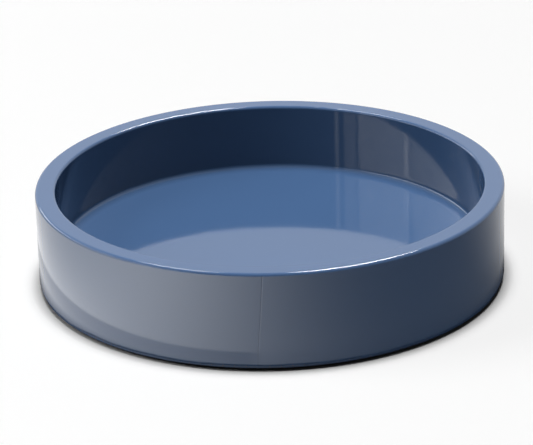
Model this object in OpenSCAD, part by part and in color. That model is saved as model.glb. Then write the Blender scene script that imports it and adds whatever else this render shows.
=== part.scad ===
// Round lacquered coin tray: a bent hoop of three strips, housed on a floor panel,
// filled at the inside corner, lacquered all over and backed with felt.
// Millimetres, +Z up, origin at the centre of the underside.

/* [Tray] */
// Outer diameter of the finished tray
tray_d = 150; // [90:1:240]
// Height from the table to the top of the rim
tray_h = 32; // [22:0.5:60]

/* [Hoop] */
// Thickness of each bent strip
strip_t = 1.8; // [1:0.1:3]
// Glue line between neighbouring wooden pieces
glue_t = 0.05; // [0.02:0.01:0.15]
// Width of the glued gap where a strip's two ends meet
end_gap = 0.1; // [0.05:0.05:0.5]
// Slope of the end joints from upright, in degrees
end_slope = 4; // [0:1:20]
// Place of the outer strip's end joint, in degrees from +X
outer_joint_at = -93; // [-180:0.5:180]
// Turn from one strip's end joint to the next, in degrees
joint_stagger = 120; // [60:5:150]

/* [Floor] */
// Thickness of the floor panel
panel_t = 8; // [4:0.5:12]
// Radius of the filler bead between hoop and floor panel
bead_r = 2; // [1.2:0.1:5]
// Thickness at which the bead's feathered edges stop
bead_edge_t = 0.1; // [0.05:0.05:0.2]

/* [Lacquer] */
// Thickness of the lacquer coat
coat_t = 0.5; // [0.2:0.05:0.8]
// Easing of the hoop's outer top edge under the lacquer
outer_ease_r = 0.5; // [0.2:0.1:0.9]
// Easing of the hoop's inner top edge under the lacquer
inner_ease_r = 0.4; // [0.2:0.1:0.9]
// Easing of the hoop's outer bottom edge under the lacquer
foot_ease_r = 0.3; // [0.2:0.1:0.9]
// Width of the lacquered border round the felt
border_w = 6; // [4:0.5:12]
// Width of the line where the lacquer sinks over the outer strip's end joint
sink_w = 0.4; // [0.2:0.1:1]
// Depth of that line
sink_depth = 0.05; // [0.02:0.01:0.12]

/* [Felt] */
// Thickness of the felt pad
felt_t = 1; // [0.9:0.1:3]
// Gap between the felt pad and the lacquered border
felt_gap = 0.3; // [0.1:0.1:1]

/* [Hidden] */
$fn = 180;
past = 1;            // how far a cutter runs past what it cuts
eps = 0.01;          // overlap that joins two parts of one section
strip_count = 3;

tray_r = tray_d / 2;
coat_foot = felt_t - coat_t;         // underside of the lacquered border
hoop_foot = felt_t;                  // underside of the hoop and the floor panel
hoop_top = tray_h - coat_t;
hoop_r = tray_r - coat_t;            // outside of the outer strip
strip_pitch = strip_t + glue_t;
hoop_bore_r = strip_bore_r(strip_count - 1);
wall_bore_r = hoop_bore_r - coat_t;  // inside of the finished wall
panel_top = hoop_foot + panel_t;
floor_z = panel_top + coat_t;        // finished floor
panel_r = strip_bore_r(strip_count - 2) - glue_t;
cove_r = bead_r - coat_t;            // finished hollow between wall and floor
bead_leg = bead_r - sqrt(pow(bead_r, 2) - pow(bead_r - bead_edge_t, 2));
border_r = tray_r - border_w;
felt_r = border_r - felt_gap;

// Radii of the strip with a given number, counted from the outside
function strip_outer_r(i) = hoop_r - i * strip_pitch;
function strip_bore_r(i) = strip_outer_r(i) - strip_t;
// The innermost strip stands on the floor panel, and the others pass beside it
function strip_foot(i) = i == strip_count - 1 ? panel_top + glue_t : hoop_foot;

// What rounding a square corner takes away, where the corner is at the origin
// and the material lies towards [side_x, side_y]
module corner_waste(r, side_x, side_y) {
    difference() {
        translate([side_x * (r - past) / 2, side_y * (r - past) / 2])
            square(r + past, center = true);
        translate([side_x * r, side_y * r]) circle(r);
    }
}

// Section of the whole hoop, with its three outer edges eased by the given radii
module hoop_section(bore_r, outer_r, foot_z, top_z, inner_round, outer_round, foot_round) {
    difference() {
        translate([bore_r, foot_z]) square([outer_r - bore_r, top_z - foot_z]);
        translate([bore_r, top_z]) corner_waste(inner_round, 1, -1);
        translate([outer_r, top_z]) corner_waste(outer_round, -1, -1);
        translate([outer_r, foot_z]) corner_waste(foot_round, -1, 1);
    }
}

module bare_hoop_section() {
    hoop_section(hoop_bore_r, hoop_r, hoop_foot, hoop_top, inner_ease_r, outer_ease_r, foot_ease_r);
}

module strip_section(i) {
    intersection() {
        bare_hoop_section();
        translate([strip_bore_r(i), strip_foot(i)])
            square([strip_t, hoop_top - strip_foot(i)]);
    }
}

module bead_section() {
    difference() {
        translate([hoop_bore_r - bead_leg, panel_top]) square(bead_leg);
        translate([hoop_bore_r - bead_r, panel_top + bead_r]) circle(bead_r);
    }
}

module panel_section() {
    translate([0, hoop_foot]) square([panel_r, panel_t]);
}

// Everything that the lacquer lies on, as one solid section without glue lines
module core_section() {
    bare_hoop_section();
    translate([0, hoop_foot]) square([hoop_bore_r + eps, panel_t]);
    bead_section();
}

// Section of the finished tray without its felt
module finished_section() {
    hoop_section(wall_bore_r, tray_r, coat_foot, tray_h,
                 inner_ease_r + coat_t, outer_ease_r + coat_t, foot_ease_r + coat_t);
    translate([0, coat_foot]) square([wall_bore_r + eps, floor_z - coat_foot]);
    difference() {
        translate([wall_bore_r - cove_r, floor_z - eps]) square([cove_r + eps, cove_r + eps]);
        translate([wall_bore_r - cove_r, floor_z + cove_r]) circle(cove_r);
    }
}

// Upright slot at the angle of one strip's end joint, from inside_r outwards
module joint_slot(i, width, inside_r) {
    rotate([0, 0, outer_joint_at + i * joint_stagger])
        translate([inside_r, 0, tray_h / 2])
            rotate([-end_slope, 0, 0])
                translate([0, -width / 2, -tray_h])
                    cube([tray_r, width, 2 * tray_h]);
}

module strip(i) {
    color(["peru", "burlywood", "tan"][i])
        difference() {
            rotate_extrude() strip_section(i);
            joint_slot(i, end_gap, strip_bore_r(i) - past);
        }
}

module outer_strip() { strip(0); }
module middle_strip() { strip(1); }
module inner_strip() { strip(2); }

module floor_panel() {
    color("sandybrown") rotate_extrude() panel_section();
}

module corner_bead() {
    color("antiquewhite") rotate_extrude() bead_section();
}

module lacquer_coat() {
    color([0.38, 0.47, 0.62])
        difference() {
            rotate_extrude()
                difference() {
                    finished_section();
                    core_section();
                    translate([0, coat_foot - past]) square([border_r, coat_t + past]);
                }
            joint_slot(0, sink_w, tray_r - sink_depth);
        }
}

module base_felt() {
    color([0.16, 0.17, 0.2]) cylinder(r = felt_r, h = felt_t);
}

outer_strip();
middle_strip();
inner_strip();
floor_panel();
corner_bead();
lacquer_coat();
base_felt();
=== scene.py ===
import math
import bmesh
import bpy
from mathutils import Matrix, Vector, noise


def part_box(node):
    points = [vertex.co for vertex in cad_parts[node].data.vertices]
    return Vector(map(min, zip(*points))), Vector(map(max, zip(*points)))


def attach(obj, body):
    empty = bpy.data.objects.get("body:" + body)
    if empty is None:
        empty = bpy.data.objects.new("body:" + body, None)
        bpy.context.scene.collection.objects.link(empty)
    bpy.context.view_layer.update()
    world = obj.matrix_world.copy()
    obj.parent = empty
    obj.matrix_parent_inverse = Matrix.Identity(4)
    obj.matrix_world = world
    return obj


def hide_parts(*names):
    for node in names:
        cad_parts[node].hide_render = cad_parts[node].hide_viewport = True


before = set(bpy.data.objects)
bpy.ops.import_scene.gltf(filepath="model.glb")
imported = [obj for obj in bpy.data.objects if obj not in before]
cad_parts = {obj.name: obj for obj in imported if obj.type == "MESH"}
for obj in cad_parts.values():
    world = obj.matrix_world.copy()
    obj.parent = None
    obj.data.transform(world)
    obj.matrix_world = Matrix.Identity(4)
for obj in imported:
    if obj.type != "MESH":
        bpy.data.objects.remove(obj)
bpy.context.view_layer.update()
millimetre = 0.001
print("frame: loaded", len(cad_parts), "nodes")


# Small helpers for node trees of every kind

def wire(tree, value, socket):
    if isinstance(value, bpy.types.NodeSocket):
        tree.links.new(value, socket)
    elif value is not None:
        socket.default_value = value


def addNode(tree, kind, values=None, **settings):
    node = tree.nodes.new(kind)
    for name, setting in settings.items():
        setattr(node, name, setting)
    for name, value in (values or {}).items():
        wire(tree, value, node.inputs[name])
    return node


def calc(tree, operation, *values):
    node = addNode(tree, "ShaderNodeMath", operation=operation)
    for socket, value in zip(node.inputs, values):
        wire(tree, value, socket)
    return node.outputs[0]


def vectorCalc(tree, operation, *values):
    node = addNode(tree, "ShaderNodeVectorMath", operation=operation)
    for socket, value in zip(node.inputs, values):
        wire(tree, value, socket)
    return node.outputs["Value" if operation in ("LENGTH", "DOT_PRODUCT", "DISTANCE") else "Vector"]


def remap(tree, value, fromLow, fromHigh, toLow=0.0, toHigh=1.0, smooth=False):
    node = addNode(tree, "ShaderNodeMapRange", interpolation_type="SMOOTHSTEP" if smooth else "LINEAR")
    for name, limit in (("Value", value), ("From Min", fromLow), ("From Max", fromHigh),
                        ("To Min", toLow), ("To Max", toHigh)):
        wire(tree, limit, node.inputs[name])
    return node.outputs["Result"]


def splitXyz(tree, vector):
    return addNode(tree, "ShaderNodeSeparateXYZ", {"Vector": vector}).outputs


def joinXyz(tree, x, y, z=0.0):
    return addNode(tree, "ShaderNodeCombineXYZ", {"X": x, "Y": y, "Z": z}).outputs["Vector"]


def mixColours(tree, share, first, second, blend="MIX"):
    node = addNode(tree, "ShaderNodeMix", data_type="RGBA", blend_type=blend)
    wire(tree, share, node.inputs[0])
    wire(tree, first, node.inputs[6])
    wire(tree, second, node.inputs[7])
    return node.outputs[2]


def mixShaders(tree, share, first, second):
    node = addNode(tree, "ShaderNodeMixShader")
    wire(tree, share, node.inputs[0])
    tree.links.new(first, node.inputs[1])
    tree.links.new(second, node.inputs[2])
    return node.outputs[0]


def addSocket(tree, name, kind, default=None, output=False):
    direction = "OUTPUT" if output else "INPUT"
    socket = tree.interface.new_socket(name=name, in_out=direction, socket_type="NodeSocket" + kind)
    if default is not None:
        socket.default_value = default
    return socket


# Camera, from a fit of the photograph's rims

cameraSettings = {
    "lens": 199.9,
    "sensorWidth": 36.0,
    "distance": 0.947,           # from the middle of the rim's plane
    "elevation": 21.64,          # degrees above the table
    "roll": 1.52,
    "rimMiddlePixel": (269.48, 180.69),
    "pictureSize": (533, 445),
}


def addCamera(settings, target):
    width, height = settings["pictureSize"]
    focalPixels = settings["lens"] / settings["sensorWidth"] * width
    lift = math.radians(settings["elevation"])
    roll = math.radians(settings["roll"])
    place = target + settings["distance"] * Vector((0, -math.cos(lift), math.sin(lift)))
    ahead = (target - place).normalized()
    right = Vector((1, 0, 0))
    upward = right.cross(ahead)
    sightX = (settings["rimMiddlePixel"][0] - width / 2) / focalPixels
    sightY = (settings["rimMiddlePixel"][1] - height / 2) / focalPixels
    sight = Vector((sightX, -sightY, 1)).normalized()
    aim = Vector((0, 0, 1)).rotation_difference(sight).to_matrix()
    turn = Matrix.Rotation(roll, 3, "Z")
    basis = Matrix((right, upward, ahead))
    looks = aim @ turn @ basis              # rows are the camera's right, up and forward
    data = bpy.data.cameras.new("photoCamera")
    data.sensor_width = settings["sensorWidth"]
    data.lens = settings["lens"]
    data.clip_start = 0.05
    data.clip_end = 20
    camera = bpy.data.objects.new("photoCamera", data)
    bpy.context.scene.collection.objects.link(camera)
    axes = Matrix((looks[0], looks[1], -looks[2])).transposed()
    camera.matrix_world = Matrix.Translation(place) @ axes.to_4x4()
    bpy.context.scene.camera = camera


coatLow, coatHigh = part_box("lacquer_coat")
addCamera(cameraSettings, Vector((0, 0, coatHigh.z)))
print("camera: placed")


# Sizes of the real tray, read from the frame

def meshRadii(name, lowest=-1.0, highest=1.0):
    points = [v.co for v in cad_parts[name].data.vertices]
    return [math.hypot(p.x, p.y) for p in points if lowest <= p.z <= highest]


hoopLow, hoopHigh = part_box("outer_strip")
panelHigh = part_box("floor_panel")[1]
feltLow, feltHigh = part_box("base_felt")
coatThickness = coatHigh.x - hoopHigh.x
hoopBore = min(meshRadii("inner_strip"))
borderBand = coatLow.z + 0.1 * millimetre

traySizes = {
    "Tray radius": coatHigh.x,
    "Tray height": coatHigh.z,
    "Coat foot": coatLow.z,
    "Wall bore": hoopBore - coatThickness,
    "Floor height": panelHigh.z + coatThickness,
    "Border radius": min(meshRadii("lacquer_coat", highest=borderBand)),
    "Hoop radius": hoopHigh.x,
    "Hoop bore": hoopBore,
    "Hoop top": hoopHigh.z,
    "Hoop foot": hoopLow.z,
    "Panel top": panelHigh.z,
}
print("sizes:", {name: round(size / millimetre, 2) for name, size in traySizes.items()})


# Lacquer skin: one closed coat turned round the hoop by Geometry Nodes

skinSettings = {
    "Cove rounding": 1.3 * millimetre,
    "Inner rounding": 0.9 * millimetre,
    "Outer rounding": 1.0 * millimetre,
    "Foot rounding": 0.8 * millimetre,
    "Border rounding": 0.15 * millimetre,
    "Rounding step": 0.1 * millimetre,
    "Support": 0.06 * millimetre,        # rows that keep the flat faces flat beside a rounding
    "Ramp width": 4.0 * millimetre,      # where lacquer pooled beside the cove
    "Ramp height": 0.22 * millimetre,
    "Ramp unevenness": 0.6,
    "Lump scale": 5.0,
    "Waviness": 0.012 * millimetre,
    "Wave length": 14.0 * millimetre,
    "Long step": 5.0 * millimetre,
    "Short step": 0.45 * millimetre,
    "Joint angle": math.radians(-93),
    "Joint slope": math.radians(4),
    "Joint width": 0.16 * millimetre,
    "Joint depth": 0.05 * millimetre,
    "Joint band": 0.3 * millimetre,      # how far in from the outer face the line still shows
    "Fine share": 0.036,                 # of all columns, how many crowd on each side of the joint
    "Fine step": 0.09,
}
skinCounts = {"Columns": 560, "Seed": 7}


def skinCorners(tree, given):
    def corner(radius, height, rounding, back, ahead):
        reach = calc(tree, "ADD", given[rounding], given["Support"])
        points = []
        for way in (back, ahead):
            along = calc(tree, "MULTIPLY_ADD", reach, way[0], given[radius])
            up = calc(tree, "MULTIPLY_ADD", reach, way[1], given[height])
            points.append((along, up, 0.0, "Long step"))
        return [points[0], (given[radius], given[height], given[rounding], "Long step"), points[1]]

    rampReach = calc(tree, "ADD", given["Ramp width"], given["Cove rounding"])
    rampStart = calc(tree, "SUBTRACT", given["Wall bore"], rampReach)
    rows = [(0.0, given["Floor height"], 0.0, "Long step")]
    rows.append((rampStart, given["Floor height"], 0.0, "Short step"))
    rows += corner("Wall bore", "Floor height", "Cove rounding", (-1, 0), (0, 1))
    rows += corner("Wall bore", "Tray height", "Inner rounding", (0, -1), (1, 0))
    rows += corner("Tray radius", "Tray height", "Outer rounding", (-1, 0), (0, -1))
    rows += corner("Tray radius", "Coat foot", "Foot rounding", (0, 1), (-1, 0))
    rows += corner("Border radius", "Coat foot", "Border rounding", (1, 0), (0, 1))
    outside = len(rows)
    rows.append((given["Border radius"], given["Hoop foot"], 0.0, "Long step"))
    rows.append((given["Hoop radius"], given["Hoop foot"], 0.0, "Long step"))
    rows.append((given["Hoop radius"], given["Hoop top"], 0.0, "Long step"))
    rows.append((given["Hoop bore"], given["Hoop top"], 0.0, "Long step"))
    rows.append((given["Hoop bore"], given["Panel top"], 0.0, "Long step"))
    rows.append((0.0, given["Panel top"], 0.0, "Long step"))
    return rows, outside


def pickByIndex(tree, index, values, kind):
    node = addNode(tree, "GeometryNodeIndexSwitch", data_type=kind)
    while len(node.index_switch_items) < len(values):
        node.index_switch_items.new()
    wire(tree, index, node.inputs["Index"])
    for number, value in enumerate(values):
        wire(tree, value, node.inputs[1 + number])
    return node.outputs[0]


def capture(tree, geometry, value, kind, name, domain="POINT"):
    node = addNode(tree, "GeometryNodeCaptureAttribute", domain=domain)
    node.capture_items.new(kind, name)
    tree.links.new(geometry, node.inputs["Geometry"])
    tree.links.new(value, node.inputs[name])
    return node.outputs["Geometry"], node.outputs[name]


def skinProfile(tree, given):
    rows, outsideCount = skinCorners(tree, given)
    line = addNode(tree, "GeometryNodeCurvePrimitiveLine")
    dotted = addNode(tree, "GeometryNodeResampleCurve", {"Curve": line.outputs[0], "Count": len(rows)})
    index = addNode(tree, "GeometryNodeInputIndex").outputs[0]
    places = [joinXyz(tree, row[0], row[1]) for row in rows]
    place = pickByIndex(tree, index, places, "VECTOR")
    bent = addNode(tree, "GeometryNodeSetPosition", {"Geometry": dotted.outputs[0], "Position": place})
    outside = calc(tree, "LESS_THAN", index, outsideCount - 0.5)
    curve, outside = capture(tree, bent.outputs[0], outside, "FLOAT", "Outside")
    step = pickByIndex(tree, index, [given[row[3]] for row in rows], "FLOAT")
    curve, step = capture(tree, curve, step, "FLOAT", "Step")
    rounding = pickByIndex(tree, index, [row[2] for row in rows], "FLOAT")
    steps = calc(tree, "DIVIDE", rounding, given["Rounding step"])
    count = calc(tree, "MINIMUM", calc(tree, "MAXIMUM", steps, 3.0), 10.0)   # 3 to 10 points a rounding
    eased = addNode(tree, "GeometryNodeFilletCurve", {"Curve": curve, "Radius": rounding, "Count": count},
                    mode="POLY")
    run = addNode(tree, "GeometryNodeSplineParameter").outputs["Length"]
    nextOne = addNode(tree, "GeometryNodeOffsetPointInCurve", {"Offset": 1}).outputs["Point Index"]
    nextRun = addNode(tree, "GeometryNodeFieldAtIndex", {"Value": run, "Index": nextOne},
                      data_type="FLOAT", domain="POINT").outputs[0]
    gap = calc(tree, "SUBTRACT", nextRun, run)
    cuts = calc(tree, "FLOOR", calc(tree, "DIVIDE", gap, step))
    divided = addNode(tree, "GeometryNodeSubdivideCurve", {"Curve": eased.outputs[0], "Cuts": cuts})
    position = addNode(tree, "GeometryNodeInputPosition").outputs[0]
    curve, place = capture(tree, divided.outputs[0], position, "VECTOR", "Place")
    return curve, place, outside


def rampLift(tree, given, radius, height, turnVector):
    # The lacquer pool: a slow rise towards the cove, uneven round the tray
    start = calc(tree, "SUBTRACT", given["Wall bore"],
                 calc(tree, "ADD", given["Ramp width"], given["Cove rounding"]))
    along = calc(tree, "DIVIDE", calc(tree, "SUBTRACT", radius, start), given["Ramp width"])
    inRamp = calc(tree, "MINIMUM", calc(tree, "MAXIMUM", along, 0.0), 1.0)
    beyond = calc(tree, "MAXIMUM", calc(tree, "SUBTRACT", along, 1.0), 0.0)
    # Past its end the rise goes on at the slope that it had there
    rise = calc(tree, "MULTIPLY_ADD", beyond, 2.0, calc(tree, "MULTIPLY", inRamp, inRamp))
    lump = addNode(tree, "ShaderNodeTexNoise", {"Vector": turnVector, "W": given["Seed"],
                                                "Scale": given["Lump scale"], "Detail": 2.0},
                   noise_dimensions="4D").outputs["Fac"]
    lumpHeight = calc(tree, "MULTIPLY", calc(tree, "SUBTRACT", lump, 0.5), 2.0)
    lumpShare = calc(tree, "MULTIPLY_ADD", lumpHeight, given["Ramp unevenness"], 1.0)
    fadeReach = calc(tree, "MULTIPLY", given["Cove rounding"], 6.0)      # up the wall
    top = calc(tree, "ADD", given["Floor height"], fadeReach)
    low = calc(tree, "ADD", given["Floor height"], given["Cove rounding"])
    fade = remap(tree, height, low, top, 1.0, 0.0, smooth=True)
    lift = calc(tree, "MULTIPLY", calc(tree, "MULTIPLY", rise, given["Ramp height"]), lumpShare)
    return calc(tree, "MULTIPLY", lift, fade)


def buildSkinTree():
    tree = bpy.data.node_groups.new("turnedSkin", "GeometryNodeTree")
    for name in list(traySizes) + list(skinSettings):
        addSocket(tree, name, "Float")
    for name in skinCounts:
        addSocket(tree, name, "Int")
    addSocket(tree, "Lacquer", "Material")
    addSocket(tree, "Geometry", "Geometry", output=True)
    given = addNode(tree, "NodeGroupInput").outputs
    profile, place, outside = skinProfile(tree, given)
    hoop = addNode(tree, "GeometryNodeCurvePrimitiveCircle", {"Resolution": given["Columns"]})
    index = addNode(tree, "GeometryNodeInputIndex").outputs[0]
    hoopCurve, column = capture(tree, hoop.outputs[0], index, "FLOAT", "Column")
    swept = addNode(tree, "GeometryNodeCurveToMesh", {"Curve": hoopCurve, "Profile Curve": profile})
    # Columns crowd at the joint, so its fine line is real shape
    turn = calc(tree, "SUBTRACT", calc(tree, "DIVIDE", column, given["Columns"]), 0.5)
    halfFine = given["Fine share"]
    near = calc(tree, "MAXIMUM", turn, calc(tree, "MULTIPLY", halfFine, -1.0))
    near = calc(tree, "MINIMUM", near, halfFine)
    nearTurn = calc(tree, "MULTIPLY", near, given["Fine step"])
    rest = calc(tree, "SUBTRACT", 0.5, calc(tree, "MULTIPLY", halfFine, given["Fine step"]))
    farStep = calc(tree, "DIVIDE", rest, calc(tree, "SUBTRACT", 0.5, halfFine))
    evened = calc(tree, "MULTIPLY_ADD", calc(tree, "SUBTRACT", turn, near), farStep, nearTurn)
    angle = calc(tree, "MULTIPLY", evened, math.tau)
    parts = splitXyz(tree, place)
    radius = parts["X"]
    height = parts["Y"]
    middle = calc(tree, "SUBTRACT", height, calc(tree, "MULTIPLY", given["Tray height"], 0.5))
    lean = calc(tree, "MULTIPLY", calc(tree, "TANGENT", given["Joint slope"]), middle)
    lean = calc(tree, "DIVIDE", lean, given["Tray radius"])
    azimuth = calc(tree, "ADD", calc(tree, "ADD", angle, lean), given["Joint angle"])
    across = calc(tree, "COSINE", azimuth)
    along = calc(tree, "SINE", azimuth)
    away = calc(tree, "DIVIDE", calc(tree, "MULTIPLY", angle, given["Tray radius"]), given["Joint width"])
    bell = calc(tree, "EXPONENT", calc(tree, "MULTIPLY", calc(tree, "MULTIPLY", away, away), -1.0))
    wallFace = remap(tree, radius, calc(tree, "SUBTRACT", given["Tray radius"], given["Joint band"]),
                     given["Tray radius"], 0.0, 1.0, smooth=True)
    line = calc(tree, "MULTIPLY", bell, wallFace)
    sunk = calc(tree, "SUBTRACT", radius, calc(tree, "MULTIPLY", line, given["Joint depth"]))
    pool = rampLift(tree, given, radius, height, joinXyz(tree, across, along))
    lift = calc(tree, "MULTIPLY", pool, outside)
    raised = calc(tree, "ADD", height, lift)
    turned = joinXyz(tree, calc(tree, "MULTIPLY", sunk, across), calc(tree, "MULTIPLY", sunk, along), raised)
    shaped = addNode(tree, "GeometryNodeSetPosition", {"Geometry": swept.outputs[0], "Position": turned})
    kept = addNode(tree, "GeometryNodeStoreNamedAttribute",
                   {"Geometry": shaped.outputs[0], "Name": "jointLine", "Value": line},
                   data_type="FLOAT", domain="POINT")
    poleReach = 0.01 * millimetre
    pole = calc(tree, "LESS_THAN", radius, poleReach)
    closed = addNode(tree, "GeometryNodeMergeByDistance",
                     {"Geometry": kept.outputs[0], "Selection": pole, "Distance": 5 * poleReach})
    waves = addNode(tree, "ShaderNodeTexNoise",
                    {"Vector": addNode(tree, "GeometryNodeInputPosition").outputs[0], "W": given["Seed"],
                     "Scale": calc(tree, "DIVIDE", 1.0, given["Wave length"]), "Detail": 1.0},
                    noise_dimensions="4D").outputs["Fac"]
    dip = calc(tree, "MULTIPLY", calc(tree, "MULTIPLY", waves, given["Waviness"]), outside)
    normal = addNode(tree, "GeometryNodeInputNormal").outputs[0]
    push = vectorCalc(tree, "SCALE", normal)
    wire(tree, calc(tree, "MULTIPLY", dip, -1.0), push.node.inputs["Scale"])
    waved = addNode(tree, "GeometryNodeSetPosition", {"Geometry": closed.outputs[0], "Offset": push})
    smooth = addNode(tree, "GeometryNodeSetShadeSmooth", {"Geometry": waved.outputs[0]})
    bend = addNode(tree, "GeometryNodeInputMeshEdgeAngle").outputs["Unsigned Angle"]
    sharpBend = math.radians(40)
    sharp = calc(tree, "GREATER_THAN", bend, sharpBend)
    creased = addNode(tree, "GeometryNodeSetShadeSmooth",
                      {"Geometry": smooth.outputs[0], "Selection": sharp, "Shade Smooth": False},
                      domain="EDGE")
    real = addNode(tree, "GeometryNodeRealizeInstances", {"Geometry": creased.outputs[0]})
    coated = addNode(tree, "GeometryNodeSetMaterial",
                     {"Geometry": real.outputs[0], "Material": given["Lacquer"]})
    addNode(tree, "NodeGroupOutput", {"Geometry": coated.outputs[0]})
    return tree


def bakePiece(name, tree, values):
    # Runs the tree once and keeps the result as a plain mesh
    piece = bpy.data.objects.new(name, bpy.data.meshes.new(name))
    bpy.context.scene.collection.objects.link(piece)
    modifier = piece.modifiers.new("make", "NODES")
    modifier.node_group = tree
    for item in tree.interface.items_tree:
        if item.in_out == "INPUT" and item.name in values:
            modifier[item.identifier] = values[item.name]
    bpy.context.view_layer.update()
    ready = piece.evaluated_get(bpy.context.evaluated_depsgraph_get())
    mesh = bpy.data.meshes.new_from_object(ready)
    piece.modifiers.remove(modifier)
    piece.data = mesh
    mesh.name = name
    return piece


# Effects that several materials share

def buildFineGrain():
    tree = bpy.data.node_groups.new("fineGrain", "ShaderNodeTree")
    addSocket(tree, "Vector", "Vector")
    addSocket(tree, "Scale", "Float", 900.0)
    addSocket(tree, "Contrast", "Float", 0.3)
    addSocket(tree, "Tone", "Float", output=True)
    addSocket(tree, "Height", "Float", output=True)
    given = addNode(tree, "NodeGroupInput").outputs
    fine = addNode(tree, "ShaderNodeTexNoise",
                   {"Vector": given["Vector"], "Scale": given["Scale"], "Detail": 4.0, "Roughness": 0.65})
    broad = addNode(tree, "ShaderNodeTexNoise",
                    {"Vector": given["Vector"], "Scale": calc(tree, "MULTIPLY", given["Scale"], 0.06),
                     "Detail": 3.0})
    spread = calc(tree, "MULTIPLY", calc(tree, "SUBTRACT", fine.outputs["Fac"], 0.5), given["Contrast"])
    drift = calc(tree, "MULTIPLY", calc(tree, "SUBTRACT", broad.outputs["Fac"], 0.5), given["Contrast"])
    tone = calc(tree, "ADD", calc(tree, "ADD", spread, calc(tree, "MULTIPLY", drift, 0.6)), 1.0)
    addNode(tree, "NodeGroupOutput", {"Tone": tone, "Height": fine.outputs["Fac"]})
    return tree


def buildDust():
    tree = bpy.data.node_groups.new("dustSpecks", "ShaderNodeTree")
    addSocket(tree, "Vector", "Vector")
    addSocket(tree, "Spacing", "Float", 0.006)
    addSocket(tree, "Share", "Float", 0.3)
    addSocket(tree, "Mask", "Float", output=True)
    given = addNode(tree, "NodeGroupInput").outputs
    cells = addNode(tree, "ShaderNodeTexVoronoi",
                    {"Vector": given["Vector"], "Scale": calc(tree, "DIVIDE", 1.0, given["Spacing"])})
    luck = splitXyz(tree, cells.outputs["Color"])
    chosen = calc(tree, "LESS_THAN", luck["X"], given["Share"])
    size = remap(tree, luck["Y"], 0.0, 1.0, 0.006, 0.02)
    core = calc(tree, "MULTIPLY", size, 0.5)
    near = remap(tree, cells.outputs["Distance"], core, size, 1.0, 0.0, smooth=True)
    addNode(tree, "NodeGroupOutput", {"Mask": calc(tree, "MULTIPLY", near, chosen)})
    return tree


fineGrain = buildFineGrain()
dustSpecks = buildDust()


def useGroup(tree, group, values):
    node = addNode(tree, "ShaderNodeGroup", node_tree=group)
    for name, value in values.items():
        wire(tree, value, node.inputs[name])
    return node.outputs


def isRay(tree, name):
    return addNode(tree, "ShaderNodeLightPath").outputs[name]


def newMaterial(name):
    material = bpy.data.materials.new(name)
    material.use_nodes = True
    tree = material.node_tree
    tree.nodes.clear()
    where = addNode(tree, "ShaderNodeTexCoord").outputs["Object"]
    shader = addNode(tree, "ShaderNodeBsdfPrincipled")
    addNode(tree, "ShaderNodeOutputMaterial", {"Surface": shader.outputs[0]})
    return material, tree, where, shader.inputs


lacquerFinish = {
    "colour": (0.088, 0.178, 0.37, 1),
    "paintedShadeTone": 0.15,            # painted shade: how bright the lacquer looks to light that it scatters itself, darkened so the tray's inner walls render darker
    "roughness": 0.05,
    "roughnessSpread": 0.03,
    "gloss": 1.5,
    "peelSpacing": 3.2 * millimetre,
    "peelDepth": 0.0016 * millimetre,
    "grainSpacing": 0.7 * millimetre,
    "grainShare": 0.05,          # of the peel's depth
    "driftScale": 22.0,
    "driftRange": 0.015,
    "rubScale": 60.0,
    "dustColour": (0.42, 0.46, 0.52, 1),
    "dustSpacing": 7 * millimetre,
    "dustShare": 0.16,
    "dustCover": 0.5,
    "dustDullness": 0.4,
    "jointTone": 0.86,
}


def makeLacquer(finish):
    material, tree, where, shader = newMaterial("blueGreyLacquer")
    drift = addNode(tree, "ShaderNodeTexNoise", {"Vector": where, "Scale": finish["driftScale"],
                                                 "Detail": 2.0}).outputs["Fac"]
    tone = remap(tree, drift, 0.3, 0.7, 1 - finish["driftRange"], 1 + finish["driftRange"])
    pigment = mixColours(tree, 1.0, finish["colour"], joinXyz(tree, tone, tone, tone), "MULTIPLY")
    line = addNode(tree, "ShaderNodeAttribute", attribute_name="jointLine").outputs["Fac"]
    lineTone = remap(tree, line, 0.0, 1.0, 1.0, finish["jointTone"])
    pigment = mixColours(tree, 1.0, pigment, joinXyz(tree, lineTone, lineTone, lineTone), "MULTIPLY")
    dust = useGroup(tree, dustSpecks, {"Vector": where, "Spacing": finish["dustSpacing"],
                                       "Share": finish["dustShare"]})["Mask"]
    dustCover = calc(tree, "MULTIPLY", dust, finish["dustCover"])
    pigment = mixColours(tree, dustCover, pigment, finish["dustColour"])
    # Painted shade: light that bounces off the lacquer takes a darker colour, which darkens the walls inside
    # the tray
    paintedShade = remap(tree, isRay(tree, "Is Diffuse Ray"), 0.0, 1.0, 1.0, finish["paintedShadeTone"])
    pigment = mixColours(tree, 1.0, pigment, joinXyz(tree, paintedShade, paintedShade, paintedShade), "MULTIPLY")
    wire(tree, pigment, shader["Base Color"])
    rub = addNode(tree, "ShaderNodeTexNoise", {"Vector": where, "Scale": finish["rubScale"],
                                               "Detail": 3.0}).outputs["Fac"]
    dull = calc(tree, "MULTIPLY_ADD", rub, finish["roughnessSpread"], finish["roughness"])
    wire(tree, calc(tree, "MULTIPLY_ADD", dust, finish["dustDullness"], dull), shader["Roughness"])
    shader["IOR"].default_value = finish["gloss"]
    peel = addNode(tree, "ShaderNodeTexNoise",
                   {"Vector": where, "Scale": 1 / finish["peelSpacing"], "Detail": 1.0}).outputs["Fac"]
    grain = addNode(tree, "ShaderNodeTexNoise",
                    {"Vector": where, "Scale": 1 / finish["grainSpacing"], "Detail": 1.0}).outputs["Fac"]
    height = calc(tree, "MULTIPLY_ADD", grain, finish["grainShare"], peel)
    bump = addNode(tree, "ShaderNodeBump", {"Height": height, "Distance": finish["peelDepth"]})
    tree.links.new(bump.outputs[0], shader["Normal"])
    return material


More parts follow.
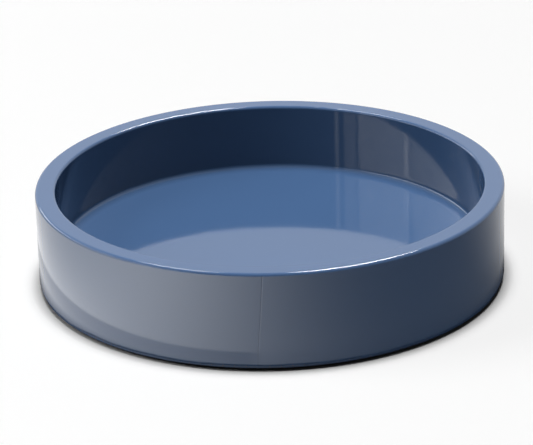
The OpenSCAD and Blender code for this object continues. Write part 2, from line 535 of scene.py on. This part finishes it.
lacquer = makeLacquer(lacquerFinish)
skinInputs = {**traySizes, **skinSettings, **skinCounts, "Lacquer": lacquer}
skin = bakePiece("lacquerSkin", buildSkinTree(), skinInputs)
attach(skin, "root")
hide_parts("lacquer_coat")
print("lacquer skin:", len(skin.data.vertices), "points,", len(skin.data.polygons), "faces")


# Fibreboard, filler and felt under the lacquer

boardFinish = {
    "hoopColour": (0.33, 0.22, 0.13, 1),
    "panelColour": (0.38, 0.26, 0.15, 1),
    "fillerColour": (0.62, 0.55, 0.42, 1),
    "boardGrain": {"Scale": 1400.0, "Contrast": 0.5},
    "boardRoughness": 0.75,
    "fillerGrain": {"Scale": 2500.0, "Contrast": 0.15},
    "fillerRoughness": 0.6,
    "poreDepth": 0.05 * millimetre,
}


def makeBoard(name, colour, grainOf, roughness):
    material, tree, where, shader = newMaterial(name)
    grain = useGroup(tree, fineGrain, {"Vector": where, **grainOf})
    tone = joinXyz(tree, grain["Tone"], grain["Tone"], grain["Tone"])
    wire(tree, mixColours(tree, 1.0, colour, tone, "MULTIPLY"), shader["Base Color"])
    shader["Roughness"].default_value = roughness
    bump = addNode(tree, "ShaderNodeBump", {"Height": grain["Height"], "Distance": boardFinish["poreDepth"]})
    tree.links.new(bump.outputs[0], shader["Normal"])
    return material


boardLook = (boardFinish["boardGrain"], boardFinish["boardRoughness"])
hoopBoard = makeBoard("hoopFibreboard", boardFinish["hoopColour"], *boardLook)
panelBoard = makeBoard("panelFibreboard", boardFinish["panelColour"], *boardLook)
filler = makeBoard("fillerPaste", boardFinish["fillerColour"], boardFinish["fillerGrain"],
                   boardFinish["fillerRoughness"])
boardOf = {
    "outer_strip": hoopBoard,
    "middle_strip": hoopBoard,
    "inner_strip": hoopBoard,
    "floor_panel": panelBoard,
    "corner_bead": filler,
}
for nodeName, board in boardOf.items():
    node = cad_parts[nodeName]
    node.data.materials.clear()
    node.data.materials.append(board)
print("boards: finished")


feltSettings = {
    "colour": (0.022, 0.026, 0.036, 1),
    "fibreGrain": {"Scale": 2600.0, "Contrast": 0.9},
    "mattedScale": 420.0,
    "mattedTwist": 2.5,
    "dustSpacing": 4 * millimetre,
    "dustShare": 0.3,
    "napDepth": 0.12 * millimetre,
    "rings": 46,
    "ringsOver": 12,
    "columns": 240,
    "edge": 0.25 * millimetre,
    "edgeEase": 0.07 * millimetre,
    "surfaceDip": 0.12 * millimetre,
    "edgeDrift": 0.12 * millimetre,
}


def makeFeltCloth(settings):
    material, tree, where, shader = newMaterial("baseFeltCloth")
    grain = useGroup(tree, fineGrain, {"Vector": where, **settings["fibreGrain"]})
    matted = addNode(tree, "ShaderNodeTexNoise",
                     {"Vector": where, "Scale": settings["mattedScale"], "Detail": 5.0,
                      "Distortion": settings["mattedTwist"]}).outputs["Fac"]
    tone = calc(tree, "MULTIPLY", grain["Tone"], remap(tree, matted, 0.3, 0.7, 0.7, 1.35))
    wire(tree, mixColours(tree, 1.0, settings["colour"], joinXyz(tree, tone, tone, tone), "MULTIPLY"),
         shader["Base Color"])
    dust = useGroup(tree, dustSpecks, {"Vector": where, "Spacing": settings["dustSpacing"],
                                       "Share": settings["dustShare"]})["Mask"]
    wire(tree, calc(tree, "MULTIPLY_ADD", dust, -0.3, 0.95), shader["Roughness"])
    shader["Sheen Weight"].default_value = 0.5
    shader["Sheen Roughness"].default_value = 0.5
    height = calc(tree, "ADD", grain["Height"], matted)
    bump = addNode(tree, "ShaderNodeBump", {"Height": height, "Distance": settings["napDepth"]})
    tree.links.new(bump.outputs[0], shader["Normal"])
    return material


def makeFeltPad(settings, cloth):
    # A pressed pad: a slightly uneven underside and a soft cut edge
    low, high = feltLow.z, feltHigh.z
    radius = feltHigh.x
    shape = bmesh.new()
    columns = settings["columns"]
    edge = settings["edge"]
    ease = settings["edgeEase"]
    rows = [(radius * i / settings["rings"], low, 1.0) for i in range(1, settings["rings"])]
    rows += [(radius - edge, low, 0.6), (radius - ease, low + 0.09 * millimetre, 0.0)]
    rows += [(radius, low + edge, 0.0), (radius, (low + high) / 2, 0.0), (radius, high - edge, 0.0)]
    rows += [(radius - ease, high - 0.05 * millimetre, 0.0), (radius - edge, high, 0.0)]
    over = settings["ringsOver"]
    rows += [(radius * i / over, high, 0.0) for i in range(over - 1, 0, -1)]
    lines = []
    for rowRadius, rowHeight, dip in rows:
        line = []
        for i in range(columns):
            angle = math.tau * i / columns
            x = math.cos(angle)
            y = math.sin(angle)
            drift = noise.noise(Vector((x * 24, y * 24, 3.1))) * 0.5 - 0.5
            out = rowRadius + drift * settings["edgeDrift"] * (rowRadius / radius) ** 8
            bumpy = noise.noise(Vector((x, y, 0)) * out * 700) * 0.5 + 0.5
            line.append(shape.verts.new((out * x, out * y, rowHeight + dip * bumpy * settings["surfaceDip"])))
        lines.append(line)
    under = shape.verts.new((0, 0, low + settings["surfaceDip"] / 2))
    above = shape.verts.new((0, 0, high))
    for i in range(columns):
        j = (i + 1) % columns
        shape.faces.new((under, lines[0][j], lines[0][i]))
        shape.faces.new((above, lines[-1][i], lines[-1][j]))
        for inner, outer in zip(lines, lines[1:]):
            shape.faces.new((inner[i], inner[j], outer[j], outer[i]))
    for face in shape.faces:
        face.smooth = True
    bmesh.ops.recalc_face_normals(shape, faces=shape.faces)
    mesh = bpy.data.meshes.new("feltPad")
    shape.to_mesh(mesh)
    shape.free()
    mesh.materials.append(cloth)
    piece = bpy.data.objects.new("feltPad", mesh)
    bpy.context.scene.collection.objects.link(piece)
    return piece


feltPad = makeFeltPad(feltSettings, makeFeltCloth(feltSettings))
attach(feltPad, "root")
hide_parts("base_felt")
print("felt: finished")


# Floor, world and lamps

studio = {
    "floorRings": (0.066, 0.12, 0.3, 1.0, 4.0),      # the first is the edge of the hole under the tray
    "floorColumns": 96,
    "floorDrop": 0.1 * millimetre,
    "floorGlow": 0.27,           # plain white that the camera sees, beside the lit part
    "floorColour": 0.76,
    "floorBounce": 0.28,
    "paintedPoolGlow": 4.2,             # painted pool of light on the table, left of the front, seen only in reflections
    "poolSide": 45.0,
    "poolWidth": 45.0,
    "floorShade": 0.25,
    # painted glow on the table behind the tray, seen only in reflections
    "paintedBackGlow": 0.5,
    "backFrom": 72.0,
    "backFull": 115.0,
    # painted contact shadow beside the tray, seen only in reflections of the table
    "paintedShadowEdge": 14 * millimetre,
    "paintedShadowStep": 0.6,
    "paintedShadowStepRight": 0.7,
    "rightFrom": -8.0,
    "rightFull": -2.0,
    "skyFill": 0.03,
    "belowFill": 0.8,
    "backWall": 1.0,
    "sunStrength": 2.45,
    "sunAngle": 22.0,
}


def makeFloorMaterial(settings):
    material = bpy.data.materials.new("paleFloor")
    material.use_nodes = True
    tree = material.node_tree
    tree.nodes.clear()
    where = addNode(tree, "ShaderNodeTexCoord").outputs["Object"]
    parts = splitXyz(tree, where)
    # Azimuth from the front, left negative, and the way out from the wall
    turn = calc(tree, "ARCTAN2", parts["X"], calc(tree, "MULTIPLY", parts["Y"], -1.0))
    reach = calc(tree, "SUBTRACT", vectorCalc(tree, "LENGTH", where), traySizes["Tray radius"])
    # Painted light on the table, seen only in reflections: a pool of light left of the front and a glow
    # behind the tray
    side = calc(tree, "ADD", turn, math.radians(settings["poolSide"]))
    side = calc(tree, "DIVIDE", side, math.radians(settings["poolWidth"]))
    pool = calc(tree, "EXPONENT", calc(tree, "MULTIPLY", calc(tree, "MULTIPLY", side, side), -1.0))
    level = calc(tree, "MULTIPLY_ADD", pool, settings["paintedPoolGlow"], settings["floorShade"])
    behindTray = remap(tree, calc(tree, "ABSOLUTE", turn), math.radians(settings["backFrom"]),
                       math.radians(settings["backFull"]), smooth=True)
    level = calc(tree, "MULTIPLY_ADD", behindTray, settings["paintedBackGlow"], level)
    # Painted contact shadow: close to the wall the table's reflected light darkens, on the left in a plain
    # step and on the right in a slow ramp
    paintedContactShadow = remap(tree, reach, 0.3 * millimetre, 6 * millimetre, 0.0, 1.0)
    edge = settings["paintedShadowEdge"]
    paintedShadowLeft = remap(tree, reach, 0.93 * edge, 1.07 * edge, settings["paintedShadowStep"], 1.0, smooth=True)
    paintedShadowRight = remap(tree, reach, 0.0, 1.4 * edge, settings["paintedShadowStepRight"], 1.0)
    onRight = remap(tree, turn, math.radians(settings["rightFrom"]), math.radians(settings["rightFull"]),
                    smooth=True)
    step = calc(tree, "ADD", calc(tree, "MULTIPLY", onRight, paintedShadowRight),
                calc(tree, "MULTIPLY", calc(tree, "SUBTRACT", 1.0, onRight), paintedShadowLeft))
    level = calc(tree, "MULTIPLY", level, calc(tree, "MULTIPLY", paintedContactShadow, step))
    mirrored = addNode(tree, "ShaderNodeEmission", {"Strength": level})
    # Painted contact shadow: the floor's plain white glow fades out towards the tray's foot
    open = remap(tree, reach, -0.5 * millimetre, 4 * millimetre, 0.0, settings["floorGlow"], smooth=True)
    glow = addNode(tree, "ShaderNodeEmission", {"Strength": open})
    pale = settings["floorColour"]
    lit = addNode(tree, "ShaderNodeBsdfDiffuse", {"Color": (pale, pale, pale, 1)})
    seen = addNode(tree, "ShaderNodeAddShader")
    tree.links.new(glow.outputs[0], seen.inputs[0])
    tree.links.new(lit.outputs[0], seen.inputs[1])
    dim = settings["floorBounce"]
    bounce = addNode(tree, "ShaderNodeBsdfDiffuse", {"Color": (dim, dim, dim, 1)})
    clear = addNode(tree, "ShaderNodeBsdfTransparent")
    behind = addNode(tree, "ShaderNodeNewGeometry").outputs["Backfacing"]
    front = mixShaders(tree, behind, seen.outputs[0], clear.outputs[0])
    result = mixShaders(tree, isRay(tree, "Is Camera Ray"), bounce.outputs[0], front)
    result = mixShaders(tree, isRay(tree, "Is Glossy Ray"), result, mirrored.outputs[0])
    addNode(tree, "ShaderNodeOutputMaterial", {"Surface": result})
    material.cycles.emission_sampling = "NONE"
    return material


def addFloor(settings):
    # A ring, open under the tray, so that light reaches the felt when it is looked at from below
    rings = settings["floorRings"]
    columns = settings["floorColumns"]
    points = []
    for ring in rings:
        for i in range(columns):
            angle = math.tau * i / columns
            points.append((ring * math.cos(angle), ring * math.sin(angle), 0))
    faces = []
    for r in range(len(rings) - 1):
        for i in range(columns):
            j = (i + 1) % columns
            faces.append((r * columns + i, (r + 1) * columns + i, (r + 1) * columns + j, r * columns + j))
    mesh = bpy.data.meshes.new("studioFloor")
    mesh.from_pydata(points, [], faces)
    mesh.materials.append(makeFloorMaterial(settings))
    floor = bpy.data.objects.new("studioFloor", mesh)
    bpy.context.scene.collection.objects.link(floor)
    floor.location.z = -settings["floorDrop"]


addFloor(studio)


def makeWorld(settings):
    world = bpy.data.worlds.new("studioRoom")
    bpy.context.scene.world = world
    world.use_nodes = True
    tree = world.node_tree
    tree.nodes.clear()
    way = splitXyz(tree, addNode(tree, "ShaderNodeTexCoord").outputs["Generated"])
    level = remap(tree, way["Y"], -1.0, 1.0, 0.0, settings["backWall"])
    mirrored = addNode(tree, "ShaderNodeBackground", {"Strength": level})
    white = addNode(tree, "ShaderNodeBackground", {"Color": (1, 1, 1, 1), "Strength": 1.0})
    above = calc(tree, "GREATER_THAN", way["Z"], 0.0)
    fill = calc(tree, "ADD", calc(tree, "MULTIPLY", above, settings["skyFill"]),
                calc(tree, "MULTIPLY", calc(tree, "SUBTRACT", 1.0, above), settings["belowFill"]))
    soft = addNode(tree, "ShaderNodeBackground", {"Strength": fill})
    for node in (mirrored, soft):
        node.inputs["Color"].default_value = (1, 1, 1, 1)
    result = mixShaders(tree, isRay(tree, "Is Camera Ray"), soft.outputs[0], white.outputs[0])
    result = mixShaders(tree, isRay(tree, "Is Glossy Ray"), result, mirrored.outputs[0])
    addNode(tree, "ShaderNodeOutputWorld", {"Surface": result})
    world.cycles.sampling_method = "NONE"


makeWorld(studio)


def direction(side, height):
    # side in degrees to the right of the camera's own side, height in degrees above the table
    side = math.radians(side)
    height = math.radians(height)
    return Vector((math.sin(side) * math.cos(height), -math.cos(side) * math.cos(height), math.sin(height)))


lampDistance = 1.3
lamps = {
    "softboxEdge": {"side": -47.5, "height": 21.6, "wide": 7, "tall": 9, "level": 3.0, "seen": "gloss"},
    "softboxLeft": {"side": -69, "height": 21.6, "wide": 31, "tall": 9, "level": 5.5, "seen": "gloss"},
    "softboxFar": {"side": -115, "height": 21.6, "wide": 60, "tall": 9, "level": 4.5, "seen": "gloss"},
    "thinStrip": {"side": -39.5, "height": 21.6, "wide": 2, "tall": 10, "level": 4.0, "seen": "gloss"},
    "sparkRight": {"side": 160.3, "height": 60, "wide": 8, "tall": 26, "level": 60, "seen": "gloss"},
    "sparkLeft": {"side": 205.3, "height": 60, "wide": 6, "tall": 16, "level": 30, "seen": "gloss"},
    "keyLeft": {"side": -85, "height": 35, "wide": 30, "tall": 30, "level": 2.6, "seen": "matt"},
}


def addLamps(settings, table):
    sun = bpy.data.lights.new("overhead", "SUN")
    sun.energy = settings["sunStrength"]
    sun.angle = math.radians(settings["sunAngle"])
    top = bpy.data.objects.new("overhead", sun)
    top.location.z = 1.5
    top.visible_glossy = False
    bpy.context.scene.collection.objects.link(top)
    for name, lamp in table.items():
        data = bpy.data.lights.new(name, "AREA")
        data.shape = "RECTANGLE"
        data.size = 2 * lampDistance * math.tan(math.radians(lamp["wide"] / 2))
        data.size_y = 2 * lampDistance * math.tan(math.radians(lamp["tall"] / 2))
        data.energy = lamp["level"] * math.pi * data.size * data.size_y
        box = bpy.data.objects.new(name, data)
        way = direction(lamp["side"], lamp["height"])
        box.location = way * lampDistance + Vector((0, 0, 0.02))
        box.rotation_euler = way.to_track_quat("Z", "Y").to_euler()
        box.visible_camera = False
        box.visible_diffuse = lamp["seen"] == "matt"
        box.visible_glossy = lamp["seen"] == "gloss"
        bpy.context.scene.collection.objects.link(box)


addLamps(studio, lamps)
scene = bpy.context.scene
scene.view_settings.view_transform = "Standard"
print("studio: lit")
